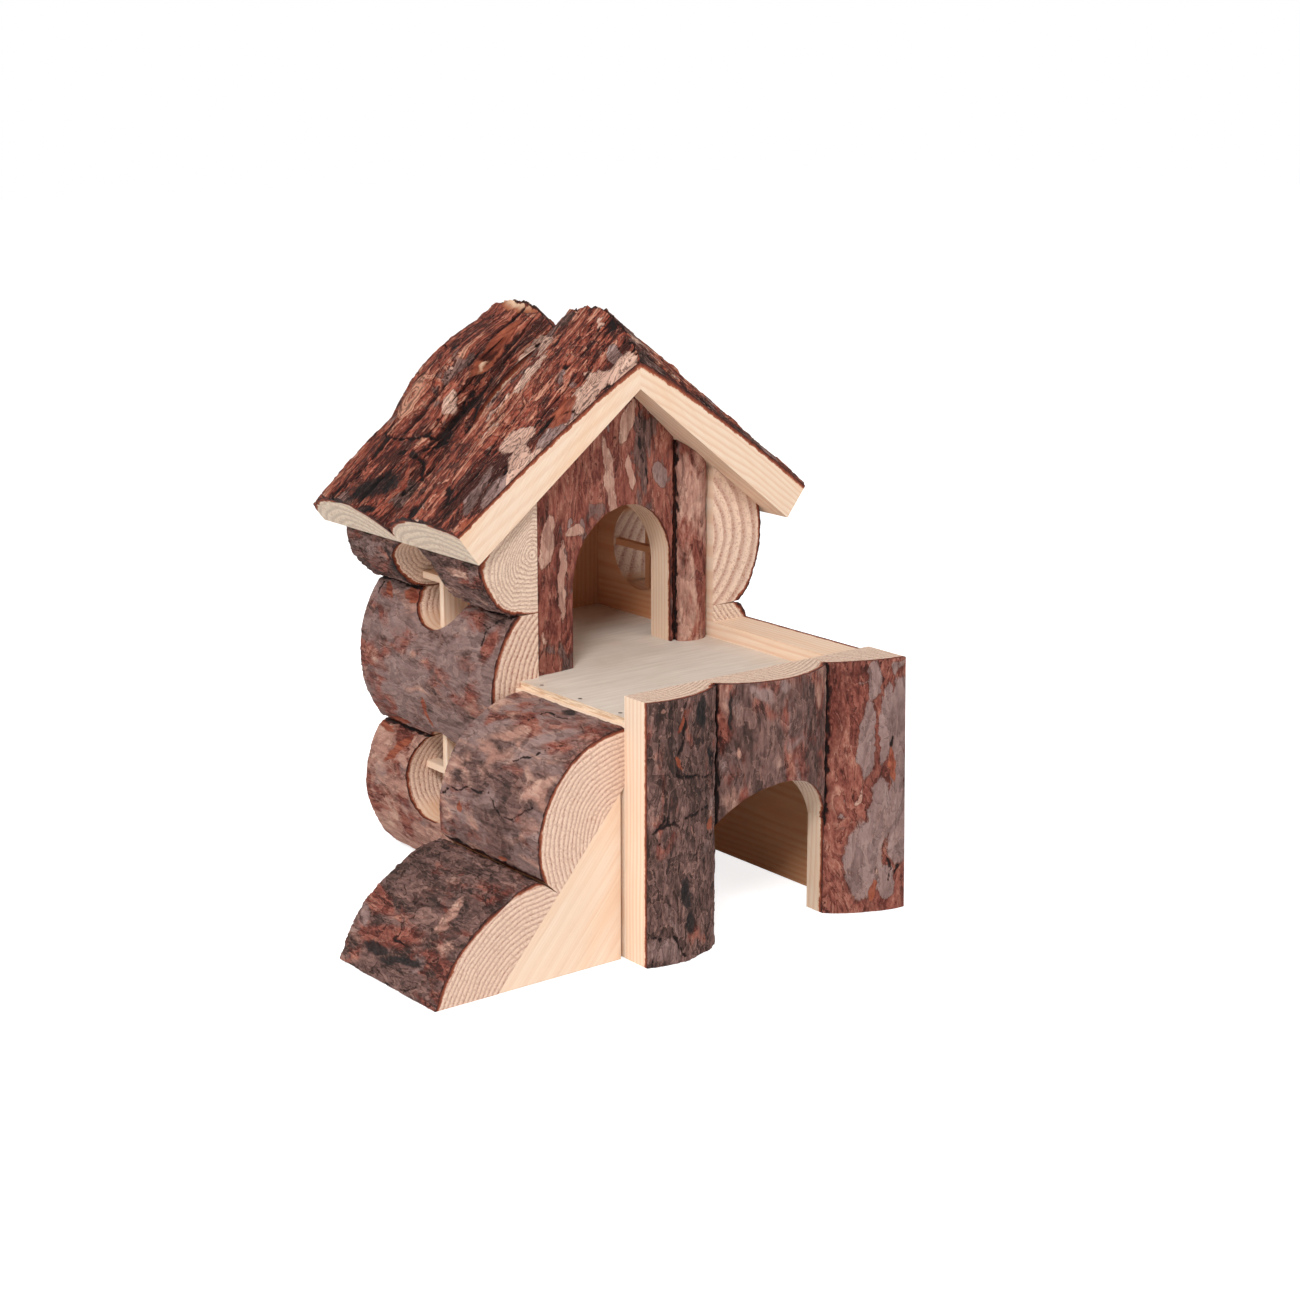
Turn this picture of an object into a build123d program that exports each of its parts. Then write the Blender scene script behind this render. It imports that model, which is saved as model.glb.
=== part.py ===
from build123d import *

import os
from math import asin, cos, radians, sin, tan

# A two-storey house for hamsters and mice, nailed together from bark-covered half-logs.
# Millimetres, +Z up. The doorways face -Y, the stairs climb along the -X side.
# While it is built, X is measured from the ridge, Y from the flat back of the front wall
# and Z from the ground. At the end everything moves so that the origin is under the middle.

# Storeys: one plywood floor, and the room above it up to the underside of the ridge
floor_top = 63.2
floor_thickness = 1.6
upper_storey_height = 74.9

# Plan: the rooms inside the side walls, and how far back the gable front and the walls' ends are
room_width = 65.2
gable_back = 66.7
house_depth = 114.0

# Front wall: two posts and a lintel, upright half-logs with their flat backs on one plane
left_post_width = 25.2
lintel_width = 36.8
right_post_width = 21.0
front_shift = 1.3
front_rise = 6.5
left_post_outer_edge = 9.3
left_post_crown = 10.9
left_seam_edge = 5.2
lintel_crown = 12.3
right_seam_edge = 6.4
right_post_middle = 11.4
right_post_outer_edge = 14.4
right_post_foot_flare = 1.8
left_post_crown_share = 0.34
lintel_crown_share = 0.54

# Doorways: one arch radius for both, the lower one beside the lintel's middle
arch_radius = 19.8
lower_door_leg = 22.4
lower_door_shift = -0.9
upper_door_leg = 22.5
upper_door_shift = 0.5

# Side walls: half-logs lying front to back, flat faces inside, their upper seams above the floor
left_wall_lead = 19.0
right_wall_lead = 12.7
left_low_seam = 39.0
left_seam_rise = 17.8
right_low_seam = 36.5
right_seam_rise = 9.3
parapet_rise = 4.5
left_foot_edge = 3.0
left_low_seam_edge = 7.8
left_high_seam_edge = 7.0
left_lower_crown = 14.0
left_middle_crown = 15.0
left_upper_crown = 18.2
right_foot_edge = 4.6
right_low_seam_edge = 7.0
right_high_seam_edge = 9.4
right_lower_crown = 13.6
right_middle_crown = 15.2
right_upper_crown = 17.3
middle_share = 0.5

# Plain board behind the stairs
side_board_thickness = 6.0

# Floor: one sheet for terrace and upper room, in a groove of the front wall
terrace_inset = 1.7
groove_depth = 1.8
groove_clearance = 0.1

# Gable front: two upright half-logs standing on the floor, between the side walls
gable_narrow_width = 10.6
gable_left_edge = 17.4
gable_wide_middle = 14.6
gable_seam_edge = 8.4
gable_narrow_crown = 12.0
gable_right_edge = 8.6

# Rear wall: upright half-logs between the side walls
rear_wall_inset = 5.7
rear_board_edge = 4.4
rear_board_crown = 10.0
rear_board_names = ("rear_board_left", "rear_board_middle", "rear_board_right")

# Roof: half-logs lying down the slopes, sawn from tapering trunks and mitred at the ridge
roof_pitch = 38.0
eave_overhang = 20.1
gable_overhang = 21.5
rear_overhang = 9.3
front_slab_width = 38.6
front_slab_crown_at_ridge = 15.7
front_slab_crown_at_eave = 13.8
front_slab_radius_at_ridge = 28.3
front_slab_radius_at_eave = 39.7
front_slab_ridge_axis_share = 0.53
front_slab_eave_axis_share = 0.363
rear_slab_crown_at_ridge = 14.4
rear_slab_crown_at_eave = 12.3
rear_slab_radius_at_ridge = 33.7
rear_slab_radius_at_eave = 28.4
rear_slab_ridge_axis_share = 0.476
rear_slab_eave_axis_share = 0.509

# Bark furrows along the slabs. Each one: middle down the slope, place across the slab, length
furrow_depth = 1.4
furrow_width = 3.2
left_front_furrow_shares = (
    (0.41, 0.37, 0.67), (0.39, 0.565, 0.5), (0.88, 0.46, 0.3), (0.82, 0.25, 0.25),
    (0.08, 0.16, 0.25), (0.4, 0.84, 0.5),
)
left_rear_furrow_shares = (
    (0.45, 0.14, 0.5), (0.06, 0.2, 0.3), (0.8, 0.51, 0.4), (0.5, 0.41, 0.4), (0.55, 0.83, 0.6),
)
right_front_furrow_shares = (
    (0.3, 0.2, 0.5), (0.58, 0.42, 0.55), (0.27, 0.64, 0.45), (0.78, 0.7, 0.4), (0.5, 0.87, 0.5),
)
right_rear_furrow_shares = (
    (0.35, 0.14, 0.5), (0.72, 0.34, 0.45), (0.3, 0.5, 0.45), (0.62, 0.67, 0.5), (0.38, 0.86, 0.5),
)

# Swelling of the left rear slab's trunk at a knot: its height, its reach and its place down the slope
knot_height = 3.1
knot_reach = 19.0
knot_slope_share = 0.24

# Windows: round holes with two crossed sticks
window_radius = 12.6
left_window_back_share = 0.507
right_window_back_share = 0.567
left_upper_window_share = 0.429
left_lower_window_share = 0.479
right_upper_window_share = 0.413
right_lower_window_share = 0.438
bar_width = 2.0
left_bar_offset = 6.5
right_bar_offset = 2.8

# Stairs: two half-logs on a slope, on two sawn triangles
stringer_run = 39.4
toe_run = 18.3
landing_thickness = 15.1
step_drop = 2.0
stair_gap = 3.3
stringer_thickness = 6.0
stringer_clearance = 1.2
lower_step_flat = 28.9
step_seam_edge = 6.6
lower_step_crown = 16.8
upper_step_crown = 18.7
lower_step_crown_share = 0.06
upper_step_crown_share = 0.64

# Brads through the terrace's left edge into the side board
brad_diameter = 1.2
brad_length = 12.0
brad_shares = (0.14, 0.5, 0.86)

overrun = 5.0

# Places that follow from the sizes above
front_height = floor_top + front_rise
front_width = left_post_width + lintel_width + right_post_width
front_left = front_shift - front_width / 2
lintel_left = front_left + left_post_width
lintel_right = lintel_left + lintel_width
wall_inside = room_width / 2
floor_underside = floor_top - floor_thickness
ridge_underside = floor_top + upper_storey_height
pitch = radians(roof_pitch)
side_wall_head = ridge_underside - wall_inside * tan(pitch)
left_wall_front = gable_back - left_wall_lead
right_wall_front = gable_back - right_wall_lead
rear_wall_inside = house_depth - rear_wall_inset
left_window_depth = left_wall_front + (house_depth - left_wall_front) * left_window_back_share
right_window_depth = right_wall_front + (house_depth - right_wall_front) * right_window_back_share
roof_half_span = wall_inside + eave_overhang
roof_front = gable_back - gable_overhang
roof_seam = roof_front + front_slab_width
roof_rear = house_depth + rear_overhang


def half_log_face(origin, across, outward, width, near_edge, crown, far_edge, crown_share):
    """The D-shaped section of a half-log: flat back, two sawn edges and a round bark side."""
    section = Plane(origin=origin, x_dir=across, z_dir=Vector(across).cross(Vector(outward)))
    back = Line((0, 0), (width, 0))
    far_side = Line((width, 0), (width, far_edge))
    bark = ThreePointArc((width, far_edge), (width * crown_share, crown), (0, near_edge))
    near_side = Line((0, near_edge), (0, 0))
    return section * make_face([back, far_side, bark, near_side])


def half_log(origin, across, outward, run, width, near_edge, crown, far_edge, crown_share):
    """A half-log: its section drawn out along run, a vector as long as the log."""
    face = half_log_face(origin, across, outward, width, near_edge, crown, far_edge, crown_share)
    return extrude(face, amount=Vector(run).length, dir=Vector(run).normalized())


def block(low, high):
    """A box between two corners."""
    size = [b - a for a, b in zip(low, high)]
    return Pos(*low) * Box(*size, align=(Align.MIN, Align.MIN, Align.MIN))


def above_roof_line():
    """Everything above the undersides of the two slopes, to trim what carries the roof."""
    reach = roof_half_span + overrun
    eave = ridge_underside - reach * tan(pitch)
    top = ridge_underside + overrun
    corners = [(-reach, eave), (0, ridge_underside), (reach, eave), (reach, top), (-reach, top)]
    outline = Polyline(*corners, close=True)
    face = Plane.XZ * make_face(outline)
    return extrude(face, amount=roof_rear + overrun, dir=(0, 1, 0))


def doorway(middle, spring, foot, front, back):
    """The hole of an arched doorway, from foot up to the round head."""
    head = Pos(middle, (front + back) / 2, spring) * Rot(90, 0, 0) * Cylinder(arch_radius, back - front)
    legs = block((middle - arch_radius, front, foot), (middle + arch_radius, back, spring))
    return head + legs


def window(side, depth, height):
    """The round hole of a window in the left (-1) or right (1) wall."""
    reach = max(left_upper_crown, right_upper_crown) + overrun
    middle = side * (wall_inside + reach / 2 - overrun / 2)
    return Pos(middle, depth, height) * Rot(0, 90, 0) * Cylinder(window_radius, reach + overrun)


def window_bars(side, depth, height, offset):
    """An upright and a level stick across a window, their ends fitted to the round hole."""
    hole = window(side, depth, height)
    level_middle = side * (wall_inside + offset - bar_width / 2)
    upright_middle = side * (wall_inside + offset + bar_width / 2)
    level = Pos(level_middle, depth, height) * Box(bar_width, 2 * window_radius, bar_width)
    upright = Pos(upright_middle, depth, height) * Box(bar_width, bar_width, 2 * window_radius)
    return upright & hole, level & hole


def front_wall():
    """Two posts and the lintel, with the floor's groove across their flat backs."""
    up = (0, 0, front_height)
    left = half_log(
        (front_left, 0, 0), (1, 0, 0), (0, -1, 0), up,
        left_post_width, left_post_outer_edge, left_post_crown, left_seam_edge, left_post_crown_share,
    )
    lintel = half_log(
        (lintel_left, 0, 0), (1, 0, 0), (0, -1, 0), up,
        lintel_width, left_seam_edge, lintel_crown, right_seam_edge, lintel_crown_share,
    )
    sections = []
    for height, flare in ((0, right_post_foot_flare), (front_height, 0)):
        sizes = (right_seam_edge, right_post_middle + flare, right_post_outer_edge + flare)
        sections.append(half_log_face(
            (lintel_right, 0, height), (1, 0, 0), (0, -1, 0), right_post_width, *sizes, middle_share,
        ))
    right = loft(sections, ruled=True)
    thickness = lintel_crown + overrun
    door_middle = (lintel_left + lintel_right) / 2 + lower_door_shift
    lintel -= doorway(door_middle, lower_door_leg, 0, -thickness, overrun)
    lintel -= block((lintel_left, -thickness, 0), (lintel_right, overrun, lower_door_leg))
    groove = block(
        (front_left + terrace_inset - groove_clearance, -groove_depth, floor_underside),
        (wall_inside + groove_clearance, overrun, floor_top + groove_clearance),
    )
    logs = {"front_left_post": left, "front_lintel": lintel, "front_right_post": right}
    return {name: log - groove for name, log in logs.items()}


def side_wall(side, names, front_ends, seams, edges, crowns, windows):
    """Three stacked half-logs of one side wall, with the window holes through them."""
    feet = (0, *seams)
    heads = (*seams, side_wall_head)
    roof_line = above_roof_line()
    logs = {}
    for index, name in enumerate(names):
        log = half_log(
            (side * wall_inside, front_ends[index], feet[index]), (0, 0, 1), (side, 0, 0),
            (0, house_depth - front_ends[index], 0), heads[index] - feet[index],
            edges[index], crowns[index], edges[index + 1], middle_share,
        )
        for place in windows:
            log -= window(*place)
        logs[name] = log - roof_line
    return logs


def side_walls():
    """Both side walls, the parapet's saw cut and the window bars."""
    upper_wall = side_wall_head - floor_top
    left_upper = (-1, left_window_depth, floor_top + upper_wall * left_upper_window_share)
    left_lower = (-1, left_window_depth, floor_underside * left_lower_window_share)
    right_upper = (1, right_window_depth, floor_top + upper_wall * right_upper_window_share)
    right_lower = (1, right_window_depth, floor_underside * right_lower_window_share)
    pieces = side_wall(
        -1, ("left_lower_log", "left_middle_log", "left_upper_log"), [left_wall_front] * 3,
        (left_low_seam, floor_top + left_seam_rise),
        (left_foot_edge, left_low_seam_edge, left_high_seam_edge, left_high_seam_edge),
        (left_lower_crown, left_middle_crown, left_upper_crown), (left_upper, left_lower),
    )
    right_seam = floor_top + right_seam_rise
    pieces |= side_wall(
        1, ("right_lower_log", "right_middle_log", "right_upper_log"), [0, 0, right_wall_front],
        (right_low_seam, right_seam),
        (right_foot_edge, right_low_seam_edge, right_high_seam_edge, right_high_seam_edge),
        (right_lower_crown, right_middle_crown, right_upper_crown), (right_upper, right_lower),
    )
    pieces["right_middle_log"] -= block(
        (wall_inside - overrun, -overrun, floor_top + parapet_rise),
        (wall_inside + right_middle_crown + overrun, right_wall_front, right_seam + overrun),
    )
    bars = {
        "left_upper": window_bars(*left_upper, left_bar_offset),
        "left_lower": window_bars(*left_lower, left_bar_offset),
        "right_upper": window_bars(*right_upper, right_bar_offset),
        "right_lower": window_bars(*right_lower, right_bar_offset),
    }
    for name, (upright, level) in bars.items():
        pieces[name + "_bar_upright"] = upright
        pieces[name + "_bar_level"] = level
    return pieces


def floor_and_side_board():
    """The plywood sheet, the board under its left edge and the brads that hold them together."""
    terrace = block(
        (front_left + terrace_inset, groove_clearance - groove_depth, floor_underside),
        (wall_inside, left_wall_front, floor_top),
    )
    room = block((-wall_inside, left_wall_front, floor_underside), (wall_inside, rear_wall_inside, floor_top))
    sheet = terrace + room
    board = block((front_left, 0, 0), (front_left + side_board_thickness, left_wall_front, floor_underside))
    brad_line = front_left + (terrace_inset + side_board_thickness) / 2
    brads = []
    for share in brad_shares:
        shank = Cylinder(brad_diameter / 2, brad_length, align=(Align.CENTER, Align.CENTER, Align.MAX))
        brads.append(Pos(brad_line, left_wall_front * share, floor_top) * shank)
    for brad in brads:
        sheet -= brad
        board -= brad
    return {"floor_board": sheet, "left_side_board": board, "floor_brads": Compound(brads)}


def gable_and_rear():
    """The upright half-logs of the gable front and of the rear wall, trimmed to the roof."""
    roof_line = above_roof_line()
    up = (0, 0, upper_storey_height)
    seam = wall_inside - gable_narrow_width
    boards = {}
    boards["gable_board_wide"] = half_log(
        (-wall_inside, gable_back, floor_top), (1, 0, 0), (0, -1, 0), up,
        seam + wall_inside, gable_left_edge, gable_wide_middle, gable_seam_edge, middle_share,
    )
    boards["gable_board_narrow"] = half_log(
        (seam, gable_back, floor_top), (1, 0, 0), (0, -1, 0), up,
        gable_narrow_width, gable_seam_edge, gable_narrow_crown, gable_right_edge, middle_share,
    )
    front = gable_back - gable_left_edge - overrun
    door = doorway(upper_door_shift, floor_top + upper_door_leg, floor_top, front, gable_back + overrun)
    pieces = {name: board - door - roof_line for name, board in boards.items()}
    width = room_width / len(rear_board_names)
    for index, name in enumerate(rear_board_names):
        board = half_log(
            (index * width - wall_inside, rear_wall_inside, 0), (1, 0, 0), (0, 1, 0), (0, 0, ridge_underside),
            width, rear_board_edge, rear_board_crown, rear_board_edge, middle_share,
        )
        pieces[name] = board - roof_line
    return pieces


def furrow(length):
    """A wheel with a V-shaped rim, sunk into the ground plane, so that its cut runs out at both ends."""
    rim = length ** 2 / (8 * furrow_depth)
    half = Cone(rim, rim - 2 * furrow_depth, furrow_width, align=(Align.CENTER, Align.CENTER, Align.MIN))
    return Pos(0, 0, rim - furrow_depth) * Rot(90, 0, 0) * (half + mirror(half, Plane.XY))


def knot(radius, growth):
    """A barrel around the trunk's axis: the trunk swells where a branch grew."""
    thin = radius - growth * knot_reach
    thick = radius + growth * knot_reach
    side = ThreePointArc((thin, -knot_reach), (radius + knot_height, 0), (thick, knot_reach))
    head = Line((thick, knot_reach), (0, knot_reach))
    heart = Line((0, knot_reach), (0, -knot_reach))
    foot = Line((0, -knot_reach), (thin, -knot_reach))
    return revolve(Plane.XZ * make_face([side, head, heart, foot]), Axis.Z)


def bark_plane(ends, radii, width, slope_share, across_share):
    """A plane that touches a slab's bark, its x axis running down the slab."""
    axis = ends[1] - ends[0]
    growth = (radii[1] - radii[0]) / axis.length
    core = ends[0] + axis * slope_share
    radius = radii[0] + (radii[1] - radii[0]) * slope_share
    sideways = Vector(-axis.Y, axis.X, 0).normalized()
    upward = axis.cross(sideways).normalized()
    lean = asin((width * across_share - core.Y) / radius)
    outward = sideways * sin(lean) + upward * cos(lean)
    down = axis.normalized() + outward * growth
    return Plane(origin=core + outward * radius, x_dir=down, z_dir=outward - axis.normalized() * growth)


def roof_slab(front, rear, crowns, radii, axis_shares, furrow_shares, knot_shares):
    """A right-hand slab: a tapering trunk, sawn flat, square at the eave and mitred at the ridge."""
    ends = []
    slope_length = roof_half_span / cos(pitch)
    for along, crown, radius, share in zip((0, slope_length), crowns, radii, axis_shares):
        ends.append(Vector(along, (rear - front) * share, crown - radius))
    axis = ends[1] - ends[0]
    growth = (radii[1] - radii[0]) / axis.length
    past = max(crowns) * tan(pitch) + overrun
    start = ends[0] - axis.normalized() * past
    length = axis.length + 2 * past
    trunk_place = Plane(origin=start, z_dir=axis)
    first_radius = radii[0] - growth * past
    trunk = trunk_place * Cone(
        first_radius, first_radius + growth * length, length, align=(Align.CENTER, Align.CENTER, Align.MIN),
    )
    for share in knot_shares:
        radius = radii[0] + (radii[1] - radii[0]) * share
        trunk += Plane(origin=ends[0] + axis * share, z_dir=axis) * knot(radius, growth)
    for slope_share, across_share, length_share in furrow_shares:
        place = bark_plane(ends, radii, rear - front, slope_share, across_share)
        trunk -= place * furrow(slope_length * length_share)
    sawn = block((-past, 0, 0), (slope_length, rear - front, max(radii)))
    down_slope = (cos(pitch), 0, -sin(pitch))
    outward = (sin(pitch), 0, cos(pitch))
    slope = Plane(origin=(0, front, ridge_underside), x_dir=down_slope, z_dir=outward)
    left_half = block(
        (-roof_half_span, front - overrun, 0),
        (0, rear + overrun, ridge_underside + roof_half_span),
    )
    return slope * (sawn & trunk) - left_half


def roof():
    """Four slabs: front and rear on each slope."""
    front_sizes = (
        (front_slab_crown_at_ridge, front_slab_crown_at_eave),
        (front_slab_radius_at_ridge, front_slab_radius_at_eave),
        (front_slab_ridge_axis_share, front_slab_eave_axis_share),
    )
    rear_sizes = (
        (rear_slab_crown_at_ridge, rear_slab_crown_at_eave),
        (rear_slab_radius_at_ridge, rear_slab_radius_at_eave),
        (rear_slab_ridge_axis_share, rear_slab_eave_axis_share),
    )
    front = (roof_front, roof_seam, *front_sizes)
    rear = (roof_seam, roof_rear, *rear_sizes)
    return {
        "roof_left_front": mirror(roof_slab(*front, left_front_furrow_shares, []), Plane.YZ),
        "roof_left_rear": mirror(roof_slab(*rear, left_rear_furrow_shares, [knot_slope_share]), Plane.YZ),
        "roof_right_front": roof_slab(*front, right_front_furrow_shares, []),
        "roof_right_rear": roof_slab(*rear, right_rear_furrow_shares, []),
    }


def stairs():
    """Two half-log steps side by side up the slope, and the triangles under their ends."""
    step_top = floor_top - step_drop
    foot = Vector(front_left - stringer_run, 0)
    landing_low = Vector(front_left, step_top - landing_thickness)
    landing_high = Vector(front_left, step_top)
    full_flat = (landing_low - foot).length
    along = (landing_low - foot).normalized()
    square = Vector(-along.Y, along.X)
    upper_step_flat = full_flat - lower_step_flat
    seam_low = foot + along * lower_step_flat
    seam_high = seam_low + square * step_seam_edge
    toe = foot - Vector(toe_run, 0)
    lower_crown = foot + along * (lower_step_flat * lower_step_crown_share) + square * lower_step_crown
    upper_crown = seam_low + along * (upper_step_flat * upper_step_crown_share) + square * upper_step_crown
    lower = [
        ThreePointArc(toe, lower_crown, seam_high),
        Line(seam_high, seam_low),
        Line(seam_low, foot),
        Line(foot, toe),
    ]
    upper = [
        ThreePointArc(seam_high, upper_crown, landing_high),
        Line(landing_high, landing_low),
        Line(landing_low, seam_low),
        Line(seam_low, seam_high),
    ]
    heel = front_left - stringer_clearance
    tip = foot + along * ((heel - foot.X) / along.X)
    triangle = Polyline(foot, (heel, 0), tip, close=True)
    stair_width = left_wall_front - stair_gap
    pieces = {}
    for name, outline in (("step_lower", lower), ("step_upper", upper)):
        pieces[name] = extrude(Plane.XZ * make_face(outline), amount=stair_width, dir=(0, 1, 0))
    stringer = extrude(Plane.XZ * make_face(triangle), amount=stringer_thickness, dir=(0, 1, 0))
    pieces["stringer_front"] = stringer
    pieces["stringer_rear"] = Pos(0, stair_width - stringer_thickness, 0) * stringer
    return pieces


pieces = front_wall() | side_walls() | floor_and_side_board() | gable_and_rear() | roof() | stairs()

# The origin is on the ground, under the middle of the whole house
box = Compound([solid for piece in pieces.values() for solid in piece.solids()]).bounding_box()
to_origin = Pos(-box.center().X, -box.center().Y, -box.min.Z)
os.makedirs("parts", exist_ok=True)
for name, piece in pieces.items():
    placed = to_origin * Compound(piece.solids())
    export_step(placed, f"parts/{name}.step")
print("pieces", len(pieces), "box", box.size)
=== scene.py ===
# %% [markdown]
# # A small animal house of bark-covered half-logs
# The house is nailed together from trunks that were sawn lengthwise, so nearly every piece shows three
# surfaces: rough bark on the round side, end grain where it was sawn across, and long grain on the flats.
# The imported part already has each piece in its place. This lesson copies those solids, weathers their round
# sides into bark, and gives all the wood one material that knows where in the trunk each point lay.

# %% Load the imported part
import math

import bmesh
import bpy
import numpy as np
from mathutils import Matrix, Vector, kdtree, noise


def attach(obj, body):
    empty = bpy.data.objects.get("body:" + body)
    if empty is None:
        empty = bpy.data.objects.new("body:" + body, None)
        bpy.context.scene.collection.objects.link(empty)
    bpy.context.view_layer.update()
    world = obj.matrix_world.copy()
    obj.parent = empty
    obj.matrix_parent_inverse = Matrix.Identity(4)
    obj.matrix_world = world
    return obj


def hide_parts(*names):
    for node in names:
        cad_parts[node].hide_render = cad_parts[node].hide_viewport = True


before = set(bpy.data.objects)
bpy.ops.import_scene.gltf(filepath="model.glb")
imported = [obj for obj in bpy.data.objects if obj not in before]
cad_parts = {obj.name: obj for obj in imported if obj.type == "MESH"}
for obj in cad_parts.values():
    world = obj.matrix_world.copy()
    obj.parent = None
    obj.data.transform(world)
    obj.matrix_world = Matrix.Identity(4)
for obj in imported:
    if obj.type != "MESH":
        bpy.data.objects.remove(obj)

MM = 0.001
scene = bpy.context.scene
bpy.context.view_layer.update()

# %% [markdown]
# ## Which way each half-log lies
# Wood looks different along and across the trunk, so every log needs two directions: run, along the trunk,
# and out, from the sawn flat towards the bark. The round side itself can be measured on the solid.

# %% Directions of the half-logs
AHEAD, BACK, UP = Vector((0, -1, 0)), Vector((0, 1, 0)), Vector((0, 0, 1))
LEFT, RIGHT = Vector((-1, 0, 0)), Vector((1, 0, 0))
roof_pitch, stair_pitch = math.radians(38.0), math.radians(49.5)
left_slope = Vector((-math.cos(roof_pitch), 0, -math.sin(roof_pitch)))
right_slope = Vector((math.cos(roof_pitch), 0, -math.sin(roof_pitch)))
left_sky = Vector((-math.sin(roof_pitch), 0, math.cos(roof_pitch)))
right_sky = Vector((math.sin(roof_pitch), 0, math.cos(roof_pitch)))
stair_sky = Vector((-math.sin(stair_pitch), 0, math.cos(stair_pitch)))

front, rear, left, right = (UP, AHEAD), (UP, BACK), (BACK, LEFT), (BACK, RIGHT)
left_roof, right_roof, step = (left_slope, left_sky), (right_slope, right_sky), (BACK, stair_sky)
log_lies = {
    "front_left_post": front, "front_lintel": front, "front_right_post": front,
    "left_lower_log": left, "left_middle_log": left, "left_upper_log": left,
    "right_lower_log": right, "right_middle_log": right, "right_upper_log": right,
    "gable_board_wide": front, "gable_board_narrow": front,
    "rear_board_left": rear, "rear_board_middle": rear, "rear_board_right": rear,
    "roof_left_front": left_roof, "roof_left_rear": left_roof,
    "roof_right_front": right_roof, "roof_right_rear": right_roof,
    "step_lower": step, "step_upper": step,
}
print("half-logs", len(log_lies))

# %% [markdown]
# ## A clean copy of a solid
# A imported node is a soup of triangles. Its copy is welded, and triangles in one plane become one face again,
# so the round side is a row of long narrow strips. The copy also gets empty layers, on which later cells
# write what each point of the wood is.

# %% Copy a node into a bmesh
vector_layers = ("trunk", "grain", "wood", "bark", "skin", "mark", "style")
weld_distance = 0.01 * MM
flat_angle = math.radians(0.2)


def sawn_copy(node):
    bm = bmesh.new()
    bm.from_mesh(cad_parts[node].data)
    bmesh.ops.remove_doubles(bm, verts=bm.verts, dist=weld_distance)
    bmesh.ops.dissolve_limit(bm, angle_limit=flat_angle, verts=bm.verts, edges=bm.edges)
    for name in ("round", "flank"):
        bm.faces.layers.int.new(name)
    for name in vector_layers:
        bm.verts.layers.float_vector.new(name)
    bm.verts.layers.float.new("girth")
    bm.normal_update()
    return bm


trial = sawn_copy("step_upper")
print("upper step: faces", len(trial.faces))

# %% [markdown]
# ## Finding the trunk inside a half-log
# The growth rings and the bark follow the trunk, not the sawn piece. A circle through the points of the round
# side gives its middle and girth, and both may drift along the log, as a trunk tapers. Written as
# y*y + z*z = 2*a*y + 2*b*z + c, that is a plain least-squares problem. The roof slabs have furrows and a knot
# in between, so only their ends are fitted.

# %% Fit a tapering trunk
class Trunk:
    turned_out, turned_along = 0.12, 0.35  # limits for the normals of the round side
    least_miss, furrow_miss = 0.5, 4.0  # mm that it may lie off the circle, plain and furrowed
    end_share = 0.75  # share of the half length that the fit of a furrowed slab leaves out
    weak = 0.001  # a weak last column keeps the taper even where only the ends have points
    rounds = 4

    def __init__(self, bm, run, out, furrowed):
        self.run, self.out, self.across = run, out, out.cross(run)
        self.from_ends = self.end_share if furrowed else 0.0
        spare = self.furrow_miss if furrowed else self.least_miss
        round_side = [f for f in bm.faces if f.normal.dot(out) > self.turned_out
                      and abs(f.normal.dot(run)) < self.turned_along]
        faces = round_side
        for attempt in range(self.rounds):
            self.fit(np.array([self.place(v.co) for f in faces for v in f.verts]))
            misses = [max(abs(self.miss(v.co)) for v in f.verts) for f in round_side]
            limit = max(self.least_miss, 2 * float(np.median(misses)))
            faces = [f for f, m in zip(round_side, misses) if m < limit]
        self.bark_faces = [f for f, m in zip(round_side, misses) if m < max(limit, spare)]

    def place(self, co):
        """Along, across and outward from the origin, in millimetres."""
        return (co.dot(self.run) / MM, co.dot(self.across) / MM, co.dot(self.out) / MM)

    def fit(self, p):
        self.mid, self.half = (p[:, 0].max() + p[:, 0].min()) / 2, (p[:, 0].max() - p[:, 0].min()) / 2
        p = p[np.abs(p[:, 0] - self.mid) >= self.from_ends * self.half]
        x = (p[:, 0] - self.mid) / self.half
        y, z, one = p[:, 1], p[:, 2], np.ones(len(p))
        table = np.stack([2 * y, 2 * y * x, 2 * z, 2 * z * x, one, x, self.weak * x * x], 1)
        self.k = np.linalg.lstsq(table, y * y + z * z, rcond=None)[0]
        self.k[6] *= self.weak

    def core(self, along):
        """The middle of the trunk and its radius at that place, in millimetres."""
        x = (along - self.mid) / self.half
        a, b = self.k[0] + self.k[1] * x, self.k[2] + self.k[3] * x
        return a, b, math.sqrt(self.k[4] + self.k[5] * x + self.k[6] * x * x + a * a + b * b)

    def rings(self, co):
        """Along the trunk, the two offsets from its middle, and the girth there."""
        along, y, z = self.place(co)
        a, b, radius = self.core(along)
        return (along, y - a, z - b), radius

    def miss(self, co):
        (along, y, z), radius = self.rings(co)
        return math.hypot(y, z) - radius

    def back(self, along, y, z):
        """From offsets in the trunk to a point of the scene."""
        a, b, radius = self.core(along)
        return (self.run * along + self.across * (a + y) + self.out * (b + z)) * MM


trunk = Trunk(trial, *log_lies["step_upper"], furrowed=False)
print("upper step: trunk radius", round(trunk.core(trunk.mid)[2], 1), "mm")
trial.free()

# %% [markdown]
# ## Cutting the round side into cells
# Bark needs small faces to be shaped. Slicing with planes keeps every sawn edge, window and arch where it is,
# which a remesh wouldn't. One set of planes stands square to the trunk, the other fans out from its middle,
# so the cells come out about square. A subdivision then makes them finer. The sawn sides of the furrowed roof
# slabs are cut too, which keeps their faces small.

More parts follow.
